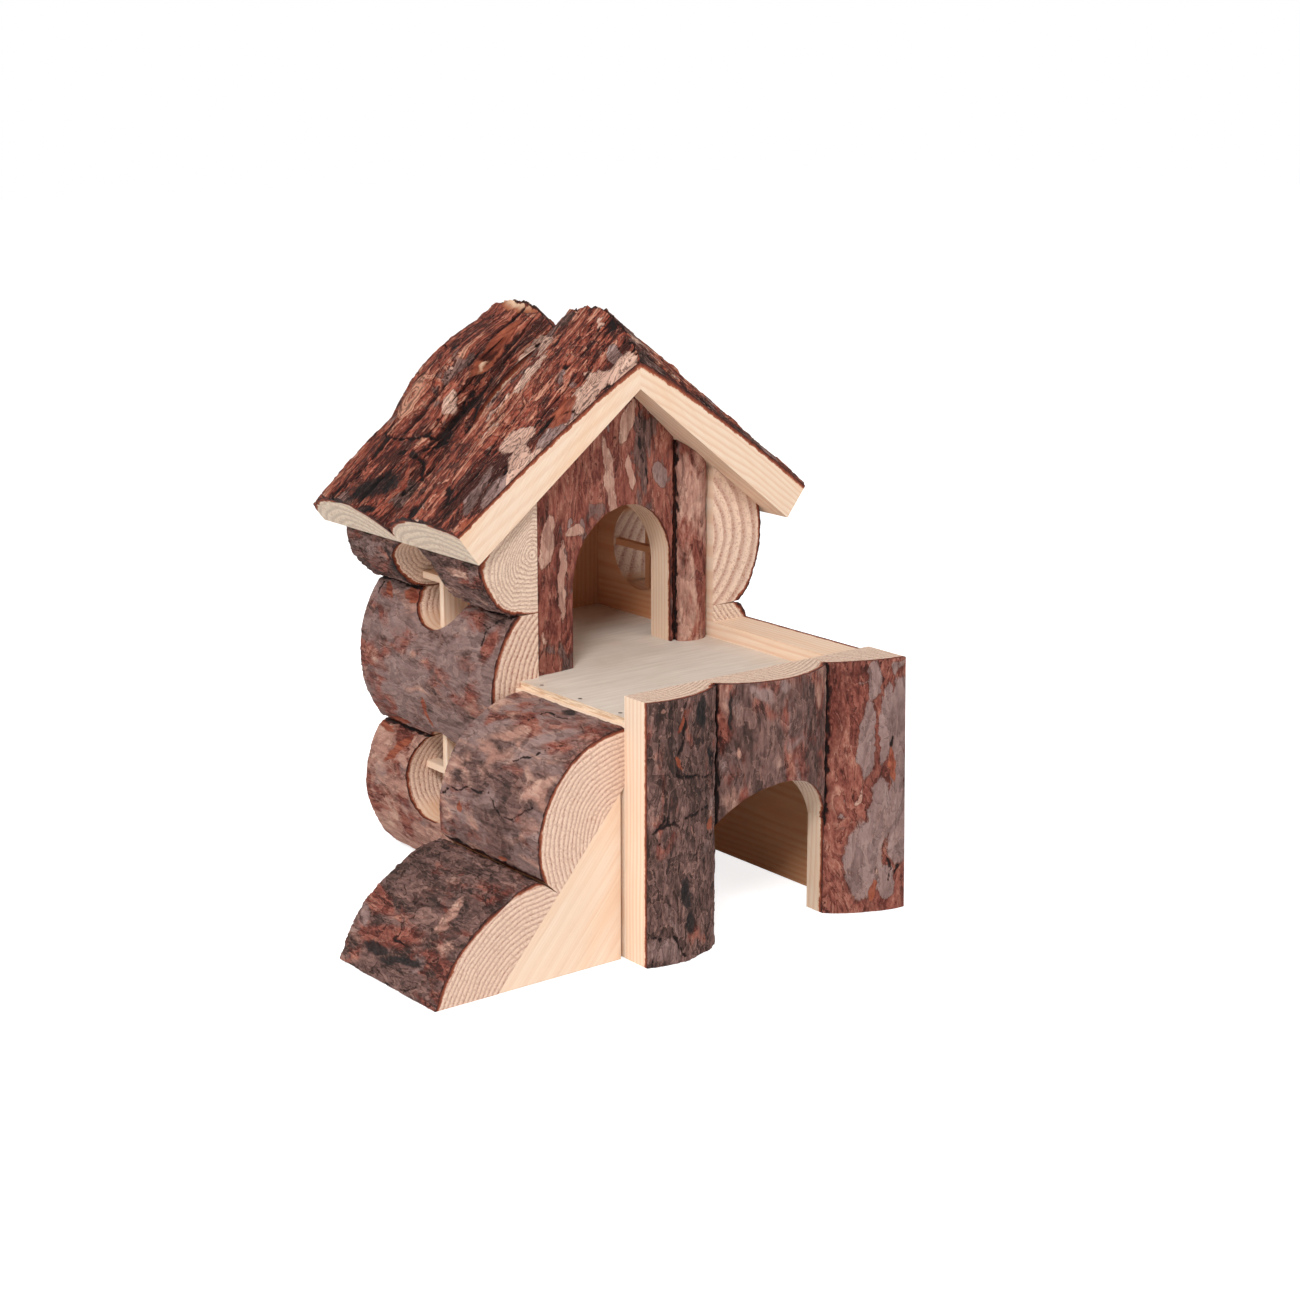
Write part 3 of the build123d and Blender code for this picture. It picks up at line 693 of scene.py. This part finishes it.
class Nodes:
    """Builds a material or world: each call adds one node and returns its output."""

    def __init__(self, owner):
        owner.use_nodes = True
        self.owner, self.tree = owner, owner.node_tree
        self.shader = self.tree.nodes.get("Principled BSDF")

    def add(self, kind, out=0, inputs=(), **settings):
        made = self.tree.nodes.new(kind)
        for key, value in settings.items():
            setattr(made, key, value)
        for key, value in dict(inputs).items():
            self.plug(value, made.inputs[key])
        return made.outputs[out]

    def plug(self, value, socket):
        if isinstance(value, bpy.types.NodeSocket):
            self.tree.links.new(value, socket)
        else:
            socket.default_value = value

    def math(self, operation, a, b=0.0):
        return self.add("ShaderNodeMath", operation=operation, inputs={0: a, 1: b})

    def swing(self, value, amount):
        """A noise from 0 to 1 as a swing to both sides of zero."""
        return self.math("MULTIPLY", self.math("SUBTRACT", value, 0.5), amount)

    def attribute(self, name, out):
        return self.add("ShaderNodeAttribute", out, attribute_name=name)

    def part(self, vector, axis):
        return self.add("ShaderNodeSeparateXYZ", axis, inputs={0: vector})

    def stretch(self, vector, scale):
        return self.add("ShaderNodeVectorMath", operation="MULTIPLY", inputs={0: vector, 1: scale})

    def noise(self, vector, scale, detail=4.0, rough=0.55, distortion=0.0):
        if isinstance(scale, tuple):
            vector, scale = self.stretch(vector, scale), 1.0
        return self.add("ShaderNodeTexNoise", inputs={
            "Vector": vector, "Scale": scale, "Detail": detail, "Roughness": rough, "Distortion": distortion})

    def band(self, value, low, high, to_low=0.0, to_high=1.0):
        return self.add("ShaderNodeMapRange", interpolation_type="SMOOTHSTEP", inputs={
            0: value, 1: low, 2: high, 3: to_low, 4: to_high})

    def ramp(self, value, stops):
        output = self.add("ShaderNodeValToRGB", inputs={0: value})
        elements = output.node.color_ramp.elements
        while len(elements) < len(stops):
            elements.new(0.5)
        for element, (position, *rgb) in zip(elements, stops):
            element.position, element.color = position, tone(*rgb)
        return output

    def mix(self, factor, a, b, blend="MIX"):
        output = self.add("ShaderNodeMix", 2, data_type="RGBA", blend_type=blend)
        for value, socket in ((factor, 0), (a, 6), (b, 7)):
            self.plug(tone(*value) if isinstance(value, tuple) else value, output.node.inputs[socket])
        return output

    def finish(self, colour, roughness, strength, depth, height):
        """Plugs a surface into the shader, with bumps of this depth in metres."""
        self.plug(colour, self.shader.inputs["Base Color"])
        self.plug(roughness, self.shader.inputs["Roughness"])
        bump = self.add("ShaderNodeBump", inputs={"Strength": strength, "Distance": depth, "Height": height})
        self.plug(bump, self.shader.inputs["Normal"])
        return self.owner


print("screen grey 128 is", round(tone(128)[0], 3), "for the nodes")

# %% [markdown]
# ## Wood under the bark
# Growth rings are shells around the trunk's middle, so a ring is only a question of depth under the bark.
# Where the surface is square to the trunk the rings show as arcs in rough end grain. Elsewhere they run out
# into long stripes, which a separate stripe pattern wouldn't join to the arcs. The insides of the walls,
# behind the gable or below the floor, get painted shade: their wood is multiplied darker and redder, as in
# the dim warm light of the rooms.

# %% Wood colours
# where the painted indoor shade sets in
behind_gable, below_floor = (8 * MM, 16 * MM), (62 * MM, 60 * MM)  # from not yet to fully, in Y and in Z


def ring_pattern(n, place, wood):
    phase = n.math("FRACT", n.math("DIVIDE", place, n.part(wood, 0)))
    ring = n.ramp(phase, [(0.0, 0, 0, 0), (0.25, 0, 0, 0), (0.5, 150, 150, 150), (0.7, 255, 255, 255),
                          (0.9, 255, 255, 255), (1.0, 0, 0, 0)])
    return n.math("MULTIPLY", ring, n.part(wood, 1))


def long_grain(n, trunk, ring):
    fibre = n.noise(trunk, (0.05, 1.6, 1.6), 5, 0.6)
    cloud = n.noise(trunk, (0.02, 0.12, 0.12), 3)
    colour = n.mix(n.math("MULTIPLY", ring, 0.55), (243, 219, 196), (224, 178, 142))
    colour = n.mix(n.band(fibre, 0.35, 0.75, 0.0, 0.3), colour, (232, 188, 154))
    colour = n.mix(n.band(cloud, 0.45, 0.7, 0.0, 0.35), colour, (236, 190, 150))
    spot = n.add("ShaderNodeTexCoord", "Object")
    # painted shade: inside the rooms the inner flats are multiplied by a darker, redder tone
    indoors = n.math("MAXIMUM", n.band(n.part(spot, 1), *behind_gable), n.band(n.part(spot, 2), *below_floor))
    indoor_shade = n.math("MULTIPLY", n.part(n.attribute("style", "Vector"), 2), indoors)
    return n.mix(indoor_shade, colour, (222, 184, 156), "MULTIPLY"), fibre


def wood_colours(n, trunk, depth, wood):
    slow = n.noise(trunk, (0.012, 0.07, 0.07), 2)
    fuzz = n.noise(trunk, (0.3, 2.6, 0.9), 4, 0.7)
    pores = n.noise(trunk, (0.9, 1.5, 1.5), 4, 0.7)
    square = n.add("ShaderNodeVectorMath", "Value", operation="DOT_PRODUCT", inputs={
        0: n.add("ShaderNodeNewGeometry", "True Normal"), 1: n.attribute("grain", "Vector")})
    end_grain = n.band(n.math("ABSOLUTE", square), 0.5, 0.8)
    place = n.math("ADD", depth, n.math("ADD", n.swing(slow, 3.0), n.swing(fuzz, end_grain)))
    ring = ring_pattern(n, place, wood)
    long_wood, fibre = long_grain(n, trunk, ring)
    broken = n.math("MULTIPLY", ring, n.band(pores, 0.36, 0.6, 1.0, 0.35))
    fresh = n.mix(broken, (250, 220, 198), (168, 96, 70))
    weathered = n.mix(broken, (252, 236, 214), (164, 142, 120))
    end_wood = n.mix(n.part(wood, 2), fresh, weathered)
    end_wood = n.mix(n.band(pores, 0.5, 0.62, 0.0, 0.5), end_wood, (184, 132, 106))
    end_wood = n.mix(n.band(fuzz, 0.44, 0.3, 0.0, 0.4), end_wood, (250, 230, 212))
    height = n.mix(end_grain, n.math("MULTIPLY", fibre, 0.4), n.math("ADD", pores, fuzz))
    return n.mix(end_grain, long_wood, end_wood), height


print("logs with rings of their own", len(wood_looks))

# %% [markdown]
# ## Bark colours
# On the real logs the bark is red, or brown where it is old, with grey skin and pale loose flakes on it. The
# patches of these skins are already on the vertices, so the material only has to colour them. One shade,
# summed from noises of several sizes, runs through all the skins, which ties them together. It also holds
# painted shade: the lower the bark lies, the darker it is, and each thin sheet is painted lighter before its
# edge and darker after it.

# %% Shades and skins of the bark
def bark_shade(n, trunk, fine, bark, flaky):
    """One shade for all skins, with painted shade from the bark's height and the sheets' edges; also the place
    within a layer, the thin sheets and the streaks.
    """
    streak = n.noise(trunk, (0.14, 0.9, 0.9), 6, 0.65, 0.4)
    mottle = n.noise(trunk, (0.25, 0.4, 0.4), 6, 0.7, 0.5)
    broad = n.noise(trunk, (0.05, 0.09, 0.09), 3, 0.5, 0.5)
    sheet = n.math("FRACT", n.math("MULTIPLY", n.noise(trunk, (0.06, 0.2, 0.2), 7, 0.6, 0.9), 5.5))
    level = n.math("ADD", n.part(bark, 0), n.swing(fine, 0.5))
    under = n.math("FLOOR", level)
    flake = n.add("ShaderNodeTexWhiteNoise", "Value", noise_dimensions="1D", inputs={"W": under})
    # painted shade: the bark's height lightens high bark and darkens low bark, and the sheet sawtooth paints
    # each thin sheet light before its edge and dark after it
    shade = n.math("MULTIPLY", n.part(bark, 2), 0.16)
    for part, weight in ((broad, 0.55), (streak, 0.65), (mottle, 0.6), (fine, 0.45), (sheet, 0.3),
                         (flake, n.math("MULTIPLY", flaky, 0.3))):
        shade = n.math("ADD", shade, n.swing(part, weight))
    shade = n.math("ADD", n.math("MULTIPLY", shade, n.band(flaky, 0.0, 1.0, 1.0, 1.4)),
                   n.band(flaky, 0.0, 1.0, 0.49, 0.42))
    return shade, n.math("SUBTRACT", level, under), sheet, streak


def bark_skins(n, shade, flaky):
    """Red, brown, grey and pale bark; flaky bark is rustier and its loose flakes are paler."""
    calm = n.math("ADD", n.math("MULTIPLY", shade, 0.5), 0.27)
    red = n.ramp(shade, [(0.2, 62, 28, 22), (0.38, 106, 52, 42), (0.52, 138, 76, 64), (0.68, 160, 98, 82),
                         (0.9, 190, 136, 116)])
    rust = n.ramp(shade, [(0.2, 60, 24, 18), (0.38, 112, 50, 38), (0.52, 150, 72, 55), (0.68, 174, 98, 76),
                          (0.9, 204, 146, 120)])
    grey = n.ramp(calm, [(0.2, 84, 62, 57), (0.4, 126, 98, 92), (0.55, 149, 120, 114), (0.85, 180, 154, 146)])
    brown = n.ramp(shade, [(0.2, 48, 34, 30), (0.4, 88, 63, 57), (0.55, 112, 82, 76), (0.85, 150, 114, 104)])
    pale = n.ramp(calm, [(0.2, 132, 88, 77), (0.5, 182, 135, 119), (0.75, 222, 184, 163)])
    red = n.mix(n.band(flaky, 0.65, 1.0), red, rust)
    pale = n.mix(n.band(flaky, 0.65, 1.0, 0.0, 0.45), pale, (238, 200, 178))
    return red, brown, grey, pale


print("skins over red bark", skin_kinds)

# %% [markdown]
# ## Edges, marks and cracks
# A loose flake gets a painted shadow at its foot and in a halo around it, and a painted highlight on its lip;
# each thin sheet gets a painted shadow line at its edge, and cracks are painted nearly black inside. Shadows
# from the geometry alone are too soft for bark this thin, so the material deepens them along the same lines,
# and lightens the lips as if they caught the light.

# %% Bark colours
def bark_colours(n, trunk, fine):
    bark, skin, mark, style = (n.attribute(name, "Vector") for name in ("bark", "skin", "mark", "style"))
    clean, flaky = n.part(style, 0), n.part(style, 1)
    shade, within, sheet, streak = bark_shade(n, trunk, fine, bark, flaky)
    colour, brown, grey, pale = bark_skins(n, shade, flaky)
    spread = n.band(clean, 0.0, 1.0, 0.2, 0.025)
    outer, inner = n.math("SUBTRACT", 0.515, spread), n.math("ADD", 0.515, spread)
    ragged = n.swing(fine, 0.22)
    for axis, layer in ((2, brown), (1, grey), (0, pale)):
        field = n.math("ADD", n.part(skin, axis), ragged)
        # painted shadow: a dark halo around each skin patch
        halo = n.math("MULTIPLY", n.band(field, 0.44, 0.5), n.band(clean, 0.2, 0.9, 0.0, 0.5))
        colour = n.mix(halo, colour, (66, 32, 25))
        colour = n.mix(n.band(field, outer, inner), colour, layer)
    # painted shadow: a dark line along the edge of each thin sheet
    colour = n.mix(n.band(sheet, 0.0, 0.1, 0.4, 0.0), colour, (52, 32, 27))
    # painted shadow at the foot of each layer and painted highlight on its lip
    foot_shade = n.math("MULTIPLY", n.band(within, 0.55, 0.82, 0.0, 0.65), flaky)
    lip_highlight = n.math("MULTIPLY", n.band(within, 0.12, 0.0, 0.0, 0.45), flaky)
    colour = n.mix(lip_highlight, n.mix(foot_shade, colour, (40, 20, 16)), (206, 158, 138))
    torn = n.mix(n.band(streak, 0.35, 0.65), (112, 46, 30), (168, 92, 66))
    bare = n.mix(n.band(n.part(mark, 1), 0.55, 0.95), (166, 98, 68), (236, 200, 168))
    black = n.mix(n.band(fine, 0.5, 0.8), (14, 12, 12), (70, 62, 60))
    for axis, layer, rough, low, high in ((2, torn, 1.5, 0.46, 0.56), (1, bare, 1.5, 0.46, 0.56),
                                          (0, black, 3.0, 0.42, 0.66)):
        field = n.math("ADD", n.part(mark, axis), n.math("MULTIPLY", ragged, rough))
        colour = n.mix(n.band(field, low, high, 0.0, 0.92), colour, layer)
    # painted shade: fissures, cracks, furrows and joints are darkened, nearly to black where deepest
    gap = n.math("ADD", n.part(bark, 1), n.swing(fine, 0.5))
    colour = n.mix(n.band(gap, 0.15, 0.6), colour, (120, 96, 90), "MULTIPLY")
    relief = n.math("ADD", fine, n.math("MULTIPLY", sheet, 0.5))
    return n.mix(n.band(gap, 0.55, 0.85, 0.0, 0.95), colour, (22, 14, 12)), relief


print("marks on top", mark_kinds)

# %% [markdown]
# ## One material for every cut through a trunk
# The material asks each point how deep under the bark it lay. On the round side it is bark, then comes a thin
# red-brown rim of inner bark, and below it the wood. Separate materials would need separate faces, and the
# rim is thinner than a face.

# %% The half-log material
rim_width = (0.9, 1.1)  # mm


def half_log_material():
    n = Nodes(bpy.data.materials.new("half_log"))
    trunk = n.attribute("trunk", "Vector")
    from_core = n.add("ShaderNodeVectorMath", "Value", operation="LENGTH",
                      inputs={0: n.stretch(trunk, (0, 1, 1))})
    depth = n.math("SUBTRACT", n.attribute("girth", "Fac"), from_core)
    wood_colour, wood_height = wood_colours(n, trunk, depth, n.attribute("wood", "Vector"))
    fine = n.noise(trunk, (0.8, 1.9, 1.9), 5, 0.75)
    bark_colour, bark_height = bark_colours(n, trunk, fine)
    under = n.math("ADD", depth, n.swing(n.noise(trunk, 0.5, 2), 0.8))
    under = n.math("ADD", under, n.swing(fine, 0.9))
    rim = n.ramp(under, [(0.0, 34, 18, 15), (0.3, 96, 46, 35), (0.6, 132, 66, 47), (0.95, 176, 100, 68)])
    colour = n.mix(n.band(under, *rim_width), rim, wood_colour)
    bark_here = n.attribute("round", "Fac")
    n.shader.inputs["Specular IOR Level"].default_value = 0.25
    return n.finish(n.mix(bark_here, colour, bark_colour), n.band(fine, 0.3, 0.7, 0.92, 0.72),
                    0.8, 0.5 * MM, n.mix(bark_here, wood_height, bark_height))


log_material = half_log_material()
for piece in (*logs.values(), *cut_wood.values()):
    piece.data.materials.append(log_material)
print("half-log material nodes", len(log_material.node_tree.nodes))

# %% [markdown]
# ## Plywood floor
# The floor board is thin plywood with a smooth pale veneer whose grain runs across the house. Its edge shows
# the crossed plies as lines. Both are painted from Object coordinates, as a flat board needs no trunk.

# %% Plywood
def dress(node, material):
    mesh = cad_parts[node].data
    mesh.materials.clear()
    mesh.materials.append(material)
    print(node, material.name)


def plywood_material():
    n = Nodes(bpy.data.materials.new("plywood"))
    spot = n.add("ShaderNodeTexCoord", "Object")
    veneer = n.noise(spot, (60, 700, 60), 5, 0.6, 0.3)
    cloud = n.noise(spot, 45.0, 4)
    colour = n.ramp(veneer, [(0.3, 212, 198, 184), (0.55, 224, 211, 198), (0.75, 232, 221, 208)])
    colour = n.mix(n.band(cloud, 0.45, 0.7, 0.0, 0.4), colour, (200, 180, 158))
    ply = n.noise(spot, (150, 150, 2600), 2)
    edge_colour = n.mix(n.band(ply, 0.4, 0.6), (236, 214, 188), (206, 172, 140))
    lying = n.part(n.add("ShaderNodeNewGeometry", "True Normal"), 2)
    colour = n.mix(n.band(n.math("ABSOLUTE", lying), 0.4, 0.7), edge_colour, colour)
    return n.finish(colour, n.band(veneer, 0.3, 0.7, 0.6, 0.75), 0.25, 0.1 * MM, veneer)


dress("floor_board", plywood_material())

# %% [markdown]
# ## Brads
# Three wire brads hold the floor to the board beside the stairs. Only their flush ends show, about a
# millimetre wide, so a little wear in colour and roughness is all that the steel needs.

# %% Steel
def steel_material():
    n = Nodes(bpy.data.materials.new("brad_steel"))
    wear = n.noise(n.add("ShaderNodeTexCoord", "Object"), 3000.0, 3)
    colour = n.ramp(wear, [(0.3, 120, 116, 112), (0.7, 176, 172, 168)])
    n.shader.inputs["Metallic"].default_value = 1.0
    return n.finish(colour, n.band(wear, 0.3, 0.7, 0.3, 0.5), 0.3, 0.05 * MM, wear)


dress("floor_brads", steel_material())

# %% [markdown]
# ## Studio
# A product photo stands on white paper. More light would bleach the house too. So the world looks white only
# to rays from the camera and to mirrored rays, and to all others it is a soft sky.

# %% World
soft_sky = 0.26
WHITE = (1, 1, 1, 1)


def seen_rays(n):
    """1 on rays from the camera, a mirror or glass."""
    rays = [n.add("ShaderNodeLightPath", f"Is {kind} Ray") for kind in ("Camera", "Glossy", "Transmission")]
    return n.math("MAXIMUM", n.math("MAXIMUM", rays[0], rays[1]), rays[2])


studio = Nodes(bpy.data.worlds.new("studio"))
scene.world = studio.owner
sky = studio.tree.nodes["Background"]
sky.inputs["Color"].default_value = (1.0, 0.98, 0.96, 1)
sky.inputs["Strength"].default_value = soft_sky
seen = studio.add("ShaderNodeBackground", inputs={"Color": WHITE, "Strength": 1.0})
chosen = studio.add("ShaderNodeMixShader", inputs={0: seen_rays(studio), 1: sky.outputs[0], 2: seen})
studio.plug(chosen, studio.tree.nodes["World Output"].inputs["Surface"])
print("sky strength", soft_sky)

# %% [markdown]
# ## White paper
# The floor is a wide sheet just under the house. A glow that only those same rays see lifts it to white, and
# a soft shadow stays under the house.

# %% Floor
paper_glow, paper_grey = 0.8, 0.8
floor_size, floor_drop = 3.0, 0.2 * MM
bm = bmesh.new()
bmesh.ops.create_grid(bm, x_segments=1, y_segments=1, size=floor_size)
bmesh.ops.translate(bm, verts=bm.verts, vec=(0, 0, -floor_drop))
mesh = bpy.data.meshes.new("floor")
bm.to_mesh(mesh)
bm.free()
floor = bpy.data.objects.new("floor", mesh)
scene.collection.objects.link(floor)
paper = Nodes(bpy.data.materials.new("white_paper"))
paper.shader.inputs["Base Color"].default_value = (paper_grey, paper_grey, paper_grey, 1)
paper.shader.inputs["Roughness"].default_value = 1.0
strength = paper.math("MULTIPLY", seen_rays(paper), paper_glow)
glow = paper.add("ShaderNodeEmission", inputs={"Color": WHITE, "Strength": strength})
both = paper.add("ShaderNodeAddShader", inputs={0: paper.shader.outputs[0], 1: glow})
paper.plug(both, paper.tree.nodes["Material Output"].inputs["Surface"])
mesh.materials.append(paper.owner)
print("floor", floor.dimensions[:2], "m")

# %% [markdown]
# ## Lamps
# The photo is lit from the upper left by a large soft lamp, with weaker ones that open the shadows in front,
# at the left and on top. Round area lamps give such soft edges, which points or suns wouldn't.

# %% Lamps
aim = Vector((0, 0, 0.07))
lamps = {  # place and width in metres, and watts
    "key_left": ((-0.65, -0.62, 0.85), 0.35, 8.2), "fill_front": ((0.3, -0.95, 0.35), 0.6, 2.7),
    "fill_left": ((-1.0, -0.1, 0.08), 0.5, 3.6), "top": ((-0.1, 0.1, 1.0), 0.8, 1.7),
}
for name, (place, width, watts) in lamps.items():
    data = bpy.data.lights.new(name, "AREA")
    data.shape, data.size, data.energy = "DISK", width, watts
    lamp = bpy.data.objects.new(name, data)
    lamp.location = place
    lamp.rotation_euler = (aim - Vector(place)).to_track_quat("-Z", "Y").to_euler()
    scene.collection.objects.link(lamp)
    print(name, watts, "W")

# %% [markdown]
# ## Camera
# The camera stands where the photo was taken from: in front, to the left, and higher than the ridge. Place,
# angles and lens were fitted to the photo together, because a longer lens from further away looks alike.

# %% Camera
camera_place = Vector((-371.45, -512.79, 227.04)) * MM
azimuth, elevation = math.radians(-37.93), math.radians(14.15)
data = bpy.data.cameras.new("photo_view")
data.lens, data.sensor_width = 66.43, 36.0
data.clip_start, data.clip_end = 0.01, 20.0
camera = bpy.data.objects.new("photo_view", data)
scene.collection.objects.link(camera)
toward = Vector((-math.sin(azimuth) * math.cos(elevation), math.cos(azimuth) * math.cos(elevation),
                 -math.sin(elevation)))
camera.location = camera_place
camera.rotation_mode = "QUATERNION"
camera.rotation_quaternion = toward.to_track_quat("-Z", "Y")
scene.camera = camera
scene.view_settings.view_transform = "Standard"
print("camera", round(camera_place.length / MM), "mm from the house's foot")
